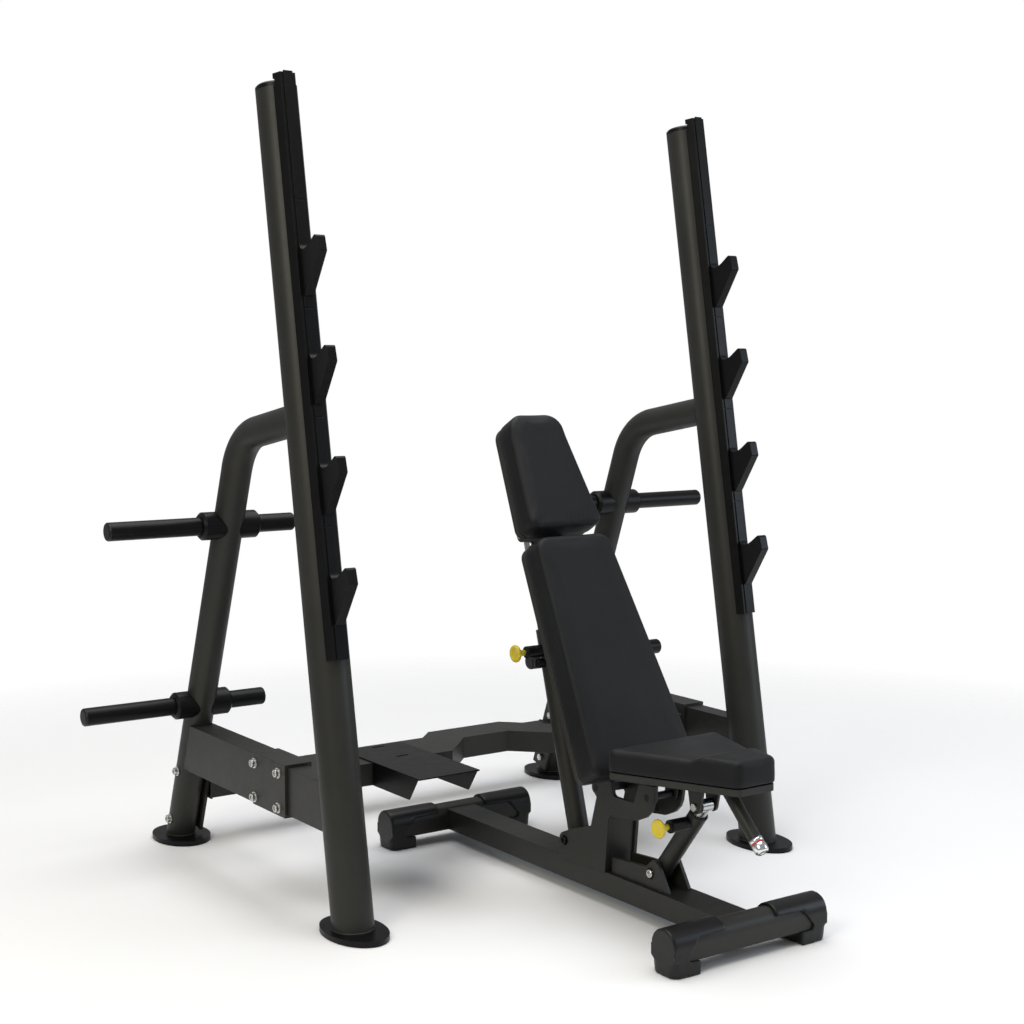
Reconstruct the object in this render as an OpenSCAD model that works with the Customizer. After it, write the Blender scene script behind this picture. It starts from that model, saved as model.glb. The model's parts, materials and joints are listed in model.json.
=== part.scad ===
// Olympic bench press: a leaning two-post rack with bar hooks and plate horns,
// and a free-standing adjustable bench rolled in between the posts.
// Millimetres, +Z up, -Y is the front. The origin is on the floor, midway between
// the two front base plates.

/* [Rack] */
// Distance from the middle to each upright's axis
upright_x = 578; // [570:1:590]
// Diameter of the uprights
upright_d = 90; // [84:1:92]
// Backward lean of the uprights, degrees
upright_lean = 10.1; // [9.8:0.1:10.4]
// Length of the uprights along their own axis
upright_len = 1790; // [1750:10:1850]
// Distance from the middle to each rear leg's axis
leg_x = 575; // [570:1:580]
// Diameter of the rear legs
leg_d = 70; // [64:1:72]
// Forward lean of the rear legs, degrees
leg_lean = 19.8; // [19.5:0.1:20.1]
// Where the rear leg's axis meets the floor
leg_foot_y = 869; // [860:1:880]

/* [Bar hooks] */
// Distance between one bar rest and the next
hook_pitch = 231; // [225:1:235]
// Height of the top bar rest along the upright
top_saddle = 1431; // [1420:1:1440]
// Radius of the bar rests
saddle_r = 15; // [14.5:0.5:16]
// Thickness of the hook plates
hook_t = 22; // [18:1:24]

/* [Plate horns] */
// Diameter of the weight plate horns
horn_d = 42.4; // [38:0.2:46]
// Distance from the middle to the outer tip of each horn
horn_tip_x = 872; // [840:1:900]

/* [Bench] */
// Angle of the backrest from vertical, degrees
back_angle = 29.6; // [28:0.2:31]
// Length of the back pad
back_pad_len = 556; // [540:1:560]
// Length of the head pad
head_pad_len = 286; // [260:1:300]
// Thickness of the upholstered pads
pad_t = 60; // [50:1:60]
// Length of the seat pad
seat_len = 296; // [280:1:300]
// Width of the seat pad at its back edge
seat_w = 318; // [300:1:330]
// Diameter of the yellow pull knobs
knob_d = 40; // [34:1:44]

/* [Hidden] */
$fn = 64;
gap = 0.1;

// rack sizes
plate_t = 12;
tube_wall = 3;
below = 60;
beyond = 1000;
upright_y = 2.4;
cap_t = 12;
cap_chamfer = 4;
rail_front = 56;
rail_back = 31;
strip_front = 58;
rail_root_w = 57;
rail_front_w = 36;
strip_w = 22;
rail_bottom = 570;
rail_top = 1815;
strip_top = 1818;
seam_above = 109;
seam = 2;
side_y_lap = 246;
side_y_joint = 400;
side_z = [195, 308];
side_x = [545, 605];
side_bolts = [[278, 210], [391, 210], [278, 288], [391, 288]];
member_z = [232, 283];
member_y = [257, 355];
member_step = 98;
rear_member_y = [775, 855];
rear_member_z = [112, 162];
leg_bolt_z = [185, 56];
bolt_r = 6;
bolt_head_r = 9;
bolt_head_t = 8;
washer_r = 12;
horn_seats = [[579, 807.5], [739.6, 360.7]];
collar_r = 32.5;
collar_reach = 72;
horn_inner_x = 408;
horn_cap_t = 6;
horn_neck_r = horn_d / 2 - 1;
step_x = [221, 380];
step_y = [60, 392];
sheet_t = 3;

// rear leg bend, worked out from the leans
rear_plate_y = 860;
leg_bend = 90 - upright_lean - leg_lean;
bend_r = 140;
bend_height = 1016;
bend_corner = [leg_foot_y - bend_height * tan(leg_lean), bend_height];
bend_run = bend_r * tan(leg_bend / 2);
leg_dir = [-sin(leg_lean), cos(leg_lean)];
stay_dir = [-cos(upright_lean), sin(upright_lean)];
bend_start = bend_corner - bend_run * leg_dir;
bend_end = bend_corner + bend_run * stay_dir;
bend_centre = bend_start + bend_r * [-leg_dir[1], leg_dir[0]];
stay_len = 235;
bend_swell = 0.2;

// bench sizes
beam_w = 80;
beam_z = [28, 78];
foot_y = [-552, 488];
foot_r = 30;
foot_half = 184;
foot_axis_z = 58;
cap_r = 36;
cap_x = 208;
column_t = 8;
column_x = 36;
back_pivot = [-131, 260];
seat_pivot = [-303, 275];
axle_r = 8;
back_strut_foot = [-20, 116];
seat_strut_foot = [-305, 110];
strut_bolt_r = 6;

// back struts, measured along their own axes from the lower pivot
back_strut_angle = 16.24;
back_strut_len = 478;
back_strut_r = 24;
back_inner_r = 19;
back_inner_from = 300;
back_eye = 700;
back_pin_at = 429;
grip_at = 401;
seat_strut_angle = -37.3;
seat_strut_len = 190;
seat_strut_r = 20;
seat_inner_r = 15;
seat_inner_from = 60;
seat_eye = 215;
seat_pin_at = 163;

// pull pins, along -X from the strut axis
pin_r = 5;
barrel_r = 14;
barrel_end = 66;
knob_x = 95;
knob_t = 12;

// pads
board_t = 15;
back_top_r = 34;
head_top_r = 44;
pad_low_r = 22;
back_origin = [-215, 400];
back_bottom = -88;
head_bottom = 486;
spine_t = 30;
spine_w = 60;
spine_top = 745;
back_lug_up = 530.5;
back_lug_depth = 148.3;
seat_origin = [-297, 331];
seat_tilt = -1.5;
seat_front_w = 104;
seat_board_t = 14;
seat_pad_t = 48;
seat_nose_rise = 9;
seat_nose_len = 98;
seat_corner_r = 18;
handle_r = 13.5;
handle_from = [-508, 325];
handle_len = 120;

black = [0.055, 0.055, 0.06];
frame_grey = [0.19, 0.19, 0.18];
vinyl = [0.14, 0.14, 0.15];
yellow = [0.86, 0.74, 0.1];
zinc = [0.72, 0.72, 0.7];

// ---------------------------------------------------------------- helpers

function arc(c, r, from, to, steps = 8) =
  [for (i = [0:steps]) let (a = from + (to - from) * i / steps) c + r * [cos(a), sin(a)]];

// the child's X and Y become Y and Z, and its Z becomes X
module side_view(x, w) {
  translate([x, 0, 0]) rotate([90, 0, 90]) linear_extrude(w, center = true) children();
}

// a round bar along X
module cross_bar(yz, r, x_from, x_to) {
  translate([x_from, yz[0], yz[1]]) rotate([0, 90, 0]) cylinder(r = r, h = x_to - x_from);
}

// local Z runs up an upright's axis, local -Y points out of its front
module on_upright(side) {
  translate([side * upright_x, upright_y, 0]) rotate([-upright_lean, 0, 0]) children();
}

module upright_solid(side, r) {
  on_upright(side) translate([0, 0, -below]) cylinder(r = r, h = upright_len + below);
}

// the bend is a touch fatter than the straight runs, whose ends sit just inside it
module leg_solid(side, r) {
  root = 1;
  translate([side * leg_x, leg_foot_y, 0]) rotate([leg_lean, 0, 0]) translate([0, 0, -below])
    cylinder(r = r, h = below + bend_start[1] / cos(leg_lean) + root);
  translate([side * leg_x, bend_centre[0], bend_centre[1]]) rotate([90, 0, 90])
    rotate([0, 0, leg_lean]) rotate_extrude(angle = leg_bend) translate([bend_r, 0])
      circle(r = r + bend_swell);
  translate([side * leg_x, bend_end[0], bend_end[1]]) rotate([90 - upright_lean, 0, 0])
    translate([0, 0, -root]) cylinder(r = r, h = stay_len + root);
}

module above_floor(z) {
  translate([-beyond, -beyond, z]) cube([2 * beyond, 3 * beyond, 3 * beyond]);
}

module both_sides() {
  for (side = [-1, 1]) scale_side(side) children();
}

module scale_side(side) {
  if (side > 0) children();
  else mirror([1, 0, 0]) children();
}

module oval(rx, ry, t) {
  points = [for (i = [0:63]) [rx * cos(i * 5.625), ry * sin(i * 5.625)]];
  linear_extrude(t) polygon(points);
}

module headed_bolt(yz, r, x_from, x_to, head_r, head_t) {
  cross_bar(yz, r, x_from, x_to);
  cross_bar(yz, head_r, x_to, x_to + head_t);
  cross_bar(yz, head_r, x_from - head_t, x_from);
}

// ---------------------------------------------------------------- rack

module front_plates() {
  color(black) both_sides() translate([upright_x, 0, 0]) oval(63.5, 97, plate_t);
}

module upright(side) {
  color(frame_grey) difference() {
    intersection() {
      upright_solid(side, upright_d / 2);
      above_floor(plate_t);
    }
    upright_solid(side, upright_d / 2 - tube_wall);
  }
}

module upright_caps() {
  r = upright_d / 2;
  profile = [[0, 0], [r, 0], [r, cap_t - cap_chamfer], [r - cap_chamfer, cap_t], [0, cap_t]];
  color(black) for (side = [-1, 1]) on_upright(side) translate([0, 0, upright_len])
    rotate_extrude() polygon(profile);
}

module hook_rails() {
  cap_clearance = 2;
  section = [[-rail_root_w / 2, -rail_back], [-rail_front_w / 2, -rail_front],
             [rail_front_w / 2, -rail_front], [rail_root_w / 2, -rail_back]];
  color(black) for (side = [-1, 1]) difference() {
    on_upright(side) translate([0, 0, rail_bottom])
      linear_extrude(rail_top - rail_bottom) polygon(section);
    on_upright(side) cylinder(r = upright_d / 2, h = 2 * beyond);
    on_upright(side) translate([0, 0, upright_len - 1])
      cylinder(r = upright_d / 2 + cap_clearance, h = cap_t + cap_clearance);
  }
}

// outline of one hook, x = distance out of the rail, y = height over the bar rest
function hook_outline(r) = concat(
  [[0, -96], [0, r]],
  arc([r, r], r, 180, 280, 8),
  [[30, 2.5], [40, 6.5]],
  arc([66.5, 12], 7, 115, 20, 4),
  arc([70, -14], 6, 0, -40, 3),
  [[5, -96]]
);

module hook(saddle) {
  translate([0, -strip_front, saddle]) rotate([0, 0, 180]) rotate([90, 0, 90])
    linear_extrude(hook_t, center = true) polygon(hook_outline(saddle_r));
}

// one length of the strip that carries the hooks
module strip(from, to) {
  translate([-strip_w / 2, -strip_front, from]) cube([strip_w, strip_front - rail_front, to - from]);
}

module hooks(side) {
  last = 3;
  color(black) on_upright(side) {
    for (i = [0:last]) let (saddle = top_saddle - i * hook_pitch, top = saddle + seam_above) {
      hook(saddle);
      strip(i == last ? rail_bottom : top - hook_pitch + seam, top);
    }
    strip(top_saddle + seam_above + seam, strip_top);
  }
}

module rear_plates() {
  color(black) both_sides() translate([leg_x, rear_plate_y, 0]) oval(67, 88.5, plate_t);
}

module rear_leg(side) {
  color(frame_grey) difference() {
    intersection() {
      leg_solid(side, leg_d / 2);
      above_floor(plate_t);
    }
    leg_solid(side, leg_d / 2 - tube_wall);
    upright_solid(side, upright_d / 2);
    for (seat = horn_seats)
      cross_bar(seat, horn_neck_r + gap, side * leg_x - 60, side * leg_x + 60);
    for (z = leg_bolt_z)
      cross_bar(leg_point(z), bolt_r + gap, side * leg_x - 60, side * leg_x + 60);
  }
}

function leg_point(z) = [leg_foot_y - z * tan(leg_lean), z];

// a little thinner where it passes through its collar and the leg
module horns(side) {
  shoulder = collar_reach + gap;
  root = 1;
  color(black) for (seat = horn_seats) scale_side(side) difference() {
    union() {
      cross_bar(seat, horn_d / 2, horn_inner_x + horn_cap_t, leg_x - shoulder);
      cross_bar(seat, horn_neck_r, leg_x - shoulder - root, leg_x + shoulder + root);
      cross_bar(seat, horn_d / 2, leg_x + shoulder, horn_tip_x - horn_cap_t);
    }
    cross_bar(seat, horn_d / 2 - 4, horn_inner_x, horn_tip_x);
  }
}

module horn_collars() {
  chamfer = 6;
  half = [[0, 0], [collar_r, 0], [collar_r, collar_reach - chamfer],
          [collar_r - chamfer, collar_reach], [0, collar_reach]];
  color(black) for (side = [-1, 1], seat = horn_seats) difference() {
    for (end = [-1, 1]) translate([side * leg_x, seat[0], seat[1]]) rotate([0, 90 * end, 0])
      rotate_extrude() polygon(half);
    leg_solid(side, leg_d / 2 + gap / 2);
    cross_bar(seat, horn_neck_r + gap, side * leg_x - 100, side * leg_x + 100);
  }
}

module horn_caps() {
  r = horn_d / 2;
  dome = [[0, 0], [r, 0], [r, 2], [r - 1.5, 4.5], [r - 5, horn_cap_t], [0, horn_cap_t]];
  color(black) for (side = [-1, 1], seat = horn_seats) scale_side(side) {
    translate([horn_tip_x - horn_cap_t, seat[0], seat[1]]) rotate([0, 90, 0])
      rotate_extrude() polygon(dome);
    translate([horn_inner_x + horn_cap_t, seat[0], seat[1]]) rotate([0, -90, 0])
      rotate_extrude() polygon(dome);
  }
}

module rail_box(x, y, z) {
  translate([x[0], y[0], z[0]]) cube([x[1] - x[0], y[1] - y[0], z[1] - z[0]]);
}

// the bolts beside the front cross-member stop inside the rail
function goes_through(bolt) = bolt[0] > member_y[1];

module side_bolt_holes() {
  for (b = side_bolts) cross_bar(b, bolt_r + gap, goes_through(b) ? 500 : 575, 650);
}

module side_rails_rear() {
  lap_x = [542, 608];
  lap_z = [193, 311];
  inner_x = [549, 601];
  inner_z = [199, 304];
  color(frame_grey) both_sides() difference() {
    union() {
      rail_box(side_x, [side_y_joint, 800], side_z);
      rail_box(lap_x, [side_y_lap, side_y_joint], lap_z);
    }
    rail_box(inner_x, [side_y_lap - 1, 900], inner_z);
    leg_solid(1, leg_d / 2);
    translate([500, leg_foot_y, 0]) rotate([leg_lean, 0, 0]) cube([200, 200, 400]);
    side_bolt_holes();
  }
}

module side_rails_front() {
  outer_x = [549.2, 600.8];
  outer_z = [199.2, 303.8];
  color(frame_grey) both_sides() difference() {
    rail_box(outer_x, [40, side_y_joint - 4], outer_z);
    rail_box([553, 597], [39, side_y_joint], [203, 300]);
    upright_solid(1, upright_d / 2);
    translate([500, upright_y, 0]) rotate([-upright_lean, 0, 0]) translate([0, -100, 0])
      cube([200, 100, 400]);
    side_bolt_holes();
  }
}

module side_rail_bolts() {
  inner = 540;
  outer = 610;
  washer_t = 2;
  color(zinc) both_sides() for (b = side_bolts) {
    cross_bar(b, bolt_r, goes_through(b) ? inner : outer - 20, outer);
    cross_bar(b, washer_r, outer - washer_t, outer);
    cross_bar(b, bolt_head_r, outer, outer + bolt_head_t);
    if (goes_through(b)) {
      cross_bar(b, washer_r, inner, inner + washer_t);
      cross_bar(b, bolt_head_r, inner - bolt_head_t, inner);
    }
  }
}

// plan of the front cross-member, drawn in by an inset on every long side
function member_plan(i, reach) = let (
    c = i * tan(22.5),
    front = member_y[0] + i,
    rear = member_y[1] - i
  ) [
    [-reach, front], [-163 - c, front], [-65 - c, front + member_step],
    [65 + c, front + member_step], [163 + c, front], [reach, front],
    [reach, rear], [203 - c, rear], [105 - c, rear + member_step],
    [-105 + c, rear + member_step], [-203 + c, rear], [-reach, rear]
  ];

module front_cross_member() {
  wall = 4;
  color(frame_grey) difference() {
    translate([0, 0, member_z[0]]) linear_extrude(member_z[1] - member_z[0])
      polygon(member_plan(0, 542));
    translate([0, 0, member_z[0] + wall]) linear_extrude(member_z[1] - member_z[0] - 2 * wall)
      polygon(member_plan(wall, 543));
  }
}

module foot_plate(side) {
  slot = [32, 7];
  slot_x = 293;
  flange = [[67, member_z[1]], [102, member_z[0]], [member_y[0], member_z[0]],
            [member_y[0], member_z[1]]];
  color(black) scale_side(side) difference() {
    union() {
      rail_box(step_x, step_y, [member_z[1], member_z[1] + sheet_t]);
      for (x = [step_x[0] + sheet_t / 2, step_x[1] - sheet_t / 2])
        side_view(x, sheet_t) polygon(flange);
    }
    for (y = [270, 375]) translate([slot_x, y, member_z[1] + 2])
      cube([slot[0], slot[1], 10], center = true);
  }
}

module rear_cross_member() {
  reach = 532;
  wall = 4;
  color(frame_grey) difference() {
    rail_box([-reach, reach], rear_member_y, rear_member_z);
    rail_box([-reach - 1, reach + 1], [rear_member_y[0] + wall, rear_member_y[1] - wall],
             [rear_member_z[0] + wall, rear_member_z[1] - wall]);
  }
}

module end_plates() {
  half_w = 30;
  color(frame_grey) both_sides() difference() {
    translate([532, leg_foot_y, 0]) rotate([leg_lean, 0, 0]) translate([0, -half_w, 32])
      cube([8, 2 * half_w, 196]);
    for (z = leg_bolt_z) cross_bar(leg_point(z), bolt_r + gap, 500, 600);
  }
}

module leg_bolts() {
  color(zinc) both_sides() for (z = leg_bolt_z) {
    headed_bolt(leg_point(z), bolt_r, 532, 612, bolt_head_r, bolt_head_t);
    cross_bar(leg_point(z), washer_r, 610.5, 612);
  }
}

// ---------------------------------------------------------------- bench base

module foot_section(r, down) {
  circle(r = r);
  translate([-r, -down]) square([2 * r, down]);
}

module foot_bar(y, r, half, down) {
  translate([-half, y, foot_axis_z]) rotate([90, 0, 90]) linear_extrude(2 * half)
    foot_section(r, down);
}

module bench_beam() {
  color(frame_grey) difference() {
    rail_box([-beam_w / 2, beam_w / 2], foot_y, beam_z);
    rail_box([-beam_w / 2 + 3, beam_w / 2 - 3], [foot_y[0] - 1, foot_y[1] + 1],
             [beam_z[0] + 3, beam_z[1] - 3]);
    for (y = foot_y) foot_bar(y, foot_r, 60, foot_r);
  }
}

module foot_tube(y) {
  color(frame_grey) difference() {
    foot_bar(y, foot_r, foot_half, foot_r);
    foot_bar(y, foot_r - 3, foot_half + 1, foot_r - 3);
  }
}

// a round sleeve with a flat end, on a foot block that is round in plan
module cap_body(y) {
  from = 68;
  half = cap_r - 0.5;
  plan = concat([[from, -half]], arc([cap_x - half, 0], half, -90, 90, 12), [[from, half]]);
  cross_bar([y, foot_axis_z], cap_r, from, cap_x);
  translate([0, y, 0]) linear_extrude(foot_axis_z) polygon(plan);
}

module foot_caps() {
  // what is cut away so that the tube shows under the tongue
  window = [[50, -1], [50, 75], [142, 71], [171, 37], [166, 28], [138, 28], [138, -1]];
  color(black) for (y = foot_y) both_sides() difference() {
    cap_body(y);
    foot_bar(y, foot_r + gap / 2, foot_half, foot_r);
    translate([0, y + 60, 0]) rotate([90, 0, 0]) linear_extrude(120) polygon(window);
  }
}

// side outline of the column plates, x = along the bench, y = height
function column_outline() = concat(
  [[-1, beam_z[1]]],
  arc([-20, 116], 19, 0, 60, 4),
  [[-46, 148], [-115, 171], [-134, 240]],
  arc(back_pivot, 14, -75, 88, 6),
  [[-138, 284], [-183, 284], [-192, 258], [-198, 254], [-258, 254], [-264, 259], [-277, 298],
   [-330, 304], [-324, 262], [-317, 247], [-302, 232], [-272, 218], [-184, 208], [-176, 200],
   [-165, beam_z[1]]]
);

module column_plates() {
  color(frame_grey) for (side = [-1, 1]) difference() {
    side_view(side * (column_x + column_t / 2), column_t) polygon(column_outline());
    cross_bar(back_pivot, axle_r + gap / 2, -50, 50);
    cross_bar(seat_pivot, axle_r + gap / 2, -50, 50);
    cross_bar(back_strut_foot, strut_bolt_r + gap, -50, 50);
  }
}

module column_web() {
  front = [[-152, beam_z[1]], [-160, beam_z[1]], [-171, 200], [-163, 200]];
  color(frame_grey) {
    side_view(0, 2 * column_x) polygon(front);
    rail_box([-column_x, column_x], [-88, -80], [beam_z[1], 158]);
    rail_box([-column_x, column_x], [-250, -190], [222, 230]);
  }
}

// the low channel and ears that hold the foot of the seat strut
module strut_bracket() {
  ears = [[-175, beam_z[1]], [-175, 113], [-290, 121], [-306, 137], [-318, 140], [-330, 134],
          [-363, beam_z[1] + 3], [-363, beam_z[1]]];
  color(frame_grey) for (side = [-1, 1]) difference() {
    side_view(side * 28, 8) polygon(ears);
    cross_bar(seat_strut_foot, strut_bolt_r + gap, -50, 50);
  }
}

module pivot_axles() {
  color(zinc) for (p = [back_pivot, seat_pivot]) cross_bar(p, axle_r, -44, 44);
}

module strut_bolts() {
  color(zinc) {
    headed_bolt(back_strut_foot, strut_bolt_r, -44, 44, bolt_head_r, 5);
    headed_bolt(seat_strut_foot, strut_bolt_r, -32, 32, bolt_head_r, 5);
  }
}

// ---------------------------------------------------------------- backrest

// local Z runs up the backrest, local Y points out of its rear, Y = 0 is the pad's face
module on_back() {
  translate([0, back_origin[0], back_origin[1]]) rotate([-back_angle, 0, 0]) children();
}

// an upright slab on the backrest: outline in X and Z, thickness along Y
module back_slab(from, t) {
  on_back() translate([0, from + t, 0]) rotate([90, 0, 0]) linear_extrude(t) children();
}

function back_half_w(s) = 142 - 0.0748 * (s + 23);
function head_half_w(s) = 100.3 - 0.105 * (s - 518);

// right edge of a tapered pad, from half-width w0 at s0 up to w1 at s1, with round corners
function pad_edge(w0, w1, s0, s1, r0, r1) = let (
    lean = atan((w0 - w1) / (s1 - s0)),
    in0 = r0 * (1 + sin(lean)) / cos(lean),
    in1 = r1 * (1 - sin(lean)) / cos(lean)
  ) concat(arc([w0 - in0, s0 + r0], r0, -90, lean), arc([w1 - in1, s1 - r1], r1, lean, 90));

module tapered_outline(w0, w1, s0, s1, r0, r1) {
  right = pad_edge(w0, w1, s0, s1, r0, r1);
  left = [for (i = [len(right) - 1:-1:0]) [-right[i][0], right[i][1]]];
  polygon(concat(right, left));
}

module back_outline(inset) {
  top = back_bottom + back_pad_len;
  tapered_outline(back_half_w(back_bottom) - inset, back_half_w(top) - inset,
                  back_bottom + inset, top - inset, pad_low_r - inset, back_top_r - inset);
}

module head_outline(inset) {
  top = head_bottom + head_pad_len;
  tapered_outline(head_half_w(head_bottom) - inset, head_half_w(top) - inset,
                  head_bottom + inset, top - inset, pad_low_r - inset, head_top_r - inset);
}

module back_pad() {
  color(vinyl) back_slab(0, pad_t) back_outline(0);
}

module back_board() {
  color(black) back_slab(pad_t, board_t) back_outline(3);
}

module head_pad() {
  color(vinyl) back_slab(0, pad_t) head_outline(0);
}

module head_board() {
  color(black) back_slab(pad_t, board_t) head_outline(3);
}

module back_spine() {
  from = pad_t + board_t;
  color(frame_grey) on_back() difference() {
    translate([-spine_w / 2, from, back_bottom + 4])
      cube([spine_w, spine_t, spine_top - back_bottom - 4]);
    translate([-spine_w / 2 + 3, from + 3, back_bottom + 10])
      cube([spine_w - 6, spine_t - 6, spine_top - back_bottom - 16]);
  }
}

module back_hinge_arm() {
  from = pad_t + board_t + spine_t;
  hinge_depth = 142.2;
  hinge_up = -80.2;
  web = [[from, 30], [from, back_bottom + 4], [hinge_depth, hinge_up - 14],
         [hinge_depth + 10, hinge_up + 9.8]];
  color(frame_grey) difference() {
    union() {
      on_back() rotate([90, 0, 90]) linear_extrude(60, center = true) polygon(web);
      cross_bar(back_pivot, 14, -34, 34);
    }
    cross_bar(back_pivot, axle_r + gap, -50, 50);
  }
}

module upper_strut_lugs() {
  from = pad_t + board_t + spine_t;
  lug = concat([[from, back_lug_up - 34], [from, back_lug_up + 34]],
               arc([back_lug_depth, back_lug_up], 17, 60, -60, 8));
  color(frame_grey) for (side = [-1, 1]) difference() {
    on_back() translate([side * 25, 0, 0]) rotate([90, 0, 90])
      linear_extrude(6, center = true) polygon(lug);
    cross_bar(strut_point(back_strut_foot, back_strut_angle, back_eye),
              strut_bolt_r + gap, -50, 50);
  }
}

// two stub bolts: this pivot is left open, so they stop short of the inner tube's eye
module upper_strut_studs() {
  eye = strut_point(back_strut_foot, back_strut_angle, back_eye);
  color(zinc) both_sides() {
    cross_bar(eye, strut_bolt_r, 21, 28);
    cross_bar(eye, 9, 28, 34);
  }
}

// ---------------------------------------------------------------- struts

function strut_point(foot, angle, d) = foot + d * [sin(angle), cos(angle)];

// local Z runs up a strut from its lower pivot
module on_strut(foot, angle) {
  translate([0, foot[0], foot[1]]) rotate([-angle, 0, 0]) children();
}

module strut_tube(foot, angle, r, bore, len, pins) {
  difference() {
    union() {
      on_strut(foot, angle) cylinder(r = r, h = len);
      cross_bar(foot, r - 2, -r + 2, r - 2);
    }
    on_strut(foot, angle) translate([0, 0, 34]) cylinder(r = bore, h = len);
    cross_bar(foot, strut_bolt_r + gap, -r - 5, r + 5);
    for (d = pins) cross_bar(strut_point(foot, angle, d), pin_r + 0.5, -60, 0);
  }
}

module strut_inner(foot, angle, r, from, eye, hole) {
  difference() {
    union() {
      on_strut(foot, angle) translate([0, 0, from]) cylinder(r = r, h = eye - from);
      cross_bar(strut_point(foot, angle, eye), r - 1, -r + 1, r - 1);
    }
    on_strut(foot, angle) translate([0, 0, from - 1]) cylinder(r = r - 3, h = eye - from - 30);
    cross_bar(strut_point(foot, angle, eye), hole, -r - 5, r + 5);
  }
}

// the spring housing of a pull pin, welded to a strut tube of radius r
module pin_barrel(at, foot, angle, r) {
  difference() {
    cross_bar(at, barrel_r, -barrel_end, -r + 6);
    on_strut(foot, angle) cylinder(r = r, h = 600);
    cross_bar(at, 10, -60, -30);
    cross_bar(at, pin_r + gap, -80, 0);
  }
}

module plunger(at, tip) {
  cross_bar(at, pin_r, -knob_x - 4, -tip);
  cross_bar(at, 9.5, -38, -34);
}

module pull_knob(at) {
  flange = knob_t / 2;
  translate([-knob_x, at[0], at[1]]) rotate([0, 90, 0]) difference() {
    rotate_extrude() polygon([
      [0, -flange], [knob_d / 2 - 4, -flange], [knob_d / 2, -flange + 4],
      [knob_d / 2, 1], [knob_d / 2 - 5, 4], [8, 7], [7, 24], [0, 24]]);
    translate([0, 0, -4]) cylinder(r = pin_r, h = 60);
  }
}

// drawn at its compressed length, so that the pin's collar never reaches it
module pin_spring(at) {
  difference() {
    cross_bar(at, 9, -59.5, -47);
    cross_bar(at, 6.5, -62, -40);
  }
}

back_pin = strut_point(back_strut_foot, back_strut_angle, back_pin_at);
seat_pin = strut_point(seat_strut_foot, seat_strut_angle, seat_pin_at);

module back_strut_tube() {
  color(frame_grey) strut_tube(back_strut_foot, back_strut_angle, back_strut_r,
                               back_inner_r + 0.5, back_strut_len, [back_pin_at]);
}

module back_pin_barrel() {
  color(black) pin_barrel(back_pin, back_strut_foot, back_strut_angle, back_strut_r);
}

module back_pin_spring() {
  color(zinc) pin_spring(back_pin);
}

module grip_peg() {
  at = strut_point(back_strut_foot, back_strut_angle, grip_at);
  color(black) difference() {
    translate([-back_strut_r + 6, at[0], at[1]]) rotate([0, -90, 0]) rotate_extrude()
      polygon([[0, 0], [10.5, 0], [10.5, 22], [8, 26], [4, 27.5], [0, 28]]);
    on_strut(back_strut_foot, back_strut_angle) cylinder(r = back_strut_r, h = 600);
  }
}

module back_strut_inner() {
  color(zinc) strut_inner(back_strut_foot, back_strut_angle, back_inner_r, back_inner_from,
                          back_eye, strut_bolt_r + 0.5);
}

module back_knob() {
  color(yellow) pull_knob(back_pin);
}

module back_plunger() {
  color(zinc) plunger(back_pin, back_inner_r + 1.2);
}

module seat_strut_tube() {
  color(frame_grey) strut_tube(seat_strut_foot, seat_strut_angle, seat_strut_r,
                               seat_inner_r + 0.5, seat_strut_len, [seat_pin_at]);
}

module seat_pin_barrel() {
  color(black) pin_barrel(seat_pin, seat_strut_foot, seat_strut_angle, seat_strut_r);
}

module seat_pin_spring() {
  color(zinc) pin_spring(seat_pin);
}

module seat_strut_inner() {
  color(zinc) strut_inner(seat_strut_foot, seat_strut_angle, seat_inner_r, seat_inner_from,
                          seat_eye, strut_bolt_r + 1.2);
}

module seat_knob() {
  color(yellow) pull_knob(seat_pin);
}

module seat_plunger() {
  color(zinc) plunger(seat_pin, seat_inner_r + 1.2);
}

// ---------------------------------------------------------------- seat

// local -Y runs forward along the seat, Z = 0 is the underside of its board
module on_seat() {
  translate([0, seat_origin[0], seat_origin[1]]) rotate([seat_tilt, 0, 0]) children();
}

module seat_outline(inset) {
  r = seat_corner_r - inset;
  tapered_outline(seat_front_w / 2 - inset, seat_w / 2 - inset, -seat_len + inset, -inset, r, r);
}

module seat_board() {
  color(black) on_seat() linear_extrude(seat_board_t) seat_outline(3);
}

// the pad's nose stands a little higher than the rest
module seat_pad() {
  color(vinyl) on_seat() translate([0, 0, seat_board_t]) {
    linear_extrude(seat_pad_t) seat_outline(0);
    intersection() {
      linear_extrude(seat_pad_t + seat_nose_rise) seat_outline(0);
      translate([-seat_w, -seat_len - 1, 1]) cube([2 * seat_w, seat_nose_len + 1, seat_len]);
    }
  }
}

module seat_bracket() {
  eye = strut_point(seat_strut_foot, seat_strut_angle, seat_eye);
  rear_ear = concat([[-284, 328], [-322, 328]], arc(seat_pivot, 16, 200, 340, 8));
  front_ear = concat([[eye[0] + 26, 330], [eye[0] - 26, 330]], arc(eye, 15, 200, 340, 8));
  color(frame_grey) difference() {
    union() {
      on_seat() translate([-34, -176, -6]) cube([68, 174, 6]);
      for (side = [-1, 1]) {
        side_view(side * 29, 6) polygon(rear_ear);
        side_view(side * 23, 6) polygon(front_ear);
      }
    }
    cross_bar(seat_pivot, axle_r + gap, -50, 50);
    cross_bar(eye, 5 + gap, -50, 50);
  }
}

module seat_strut_top_bolt() {
  eye = strut_point(seat_strut_foot, seat_strut_angle, seat_eye);
  color(zinc) headed_bolt(eye, 5, -26, 26, 8, 5);
}

// local Z runs down the front handle from under the seat
module on_handle() {
  translate([0, handle_from[0], handle_from[1]]) rotate([135, 0, 0]) children();
}

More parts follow.
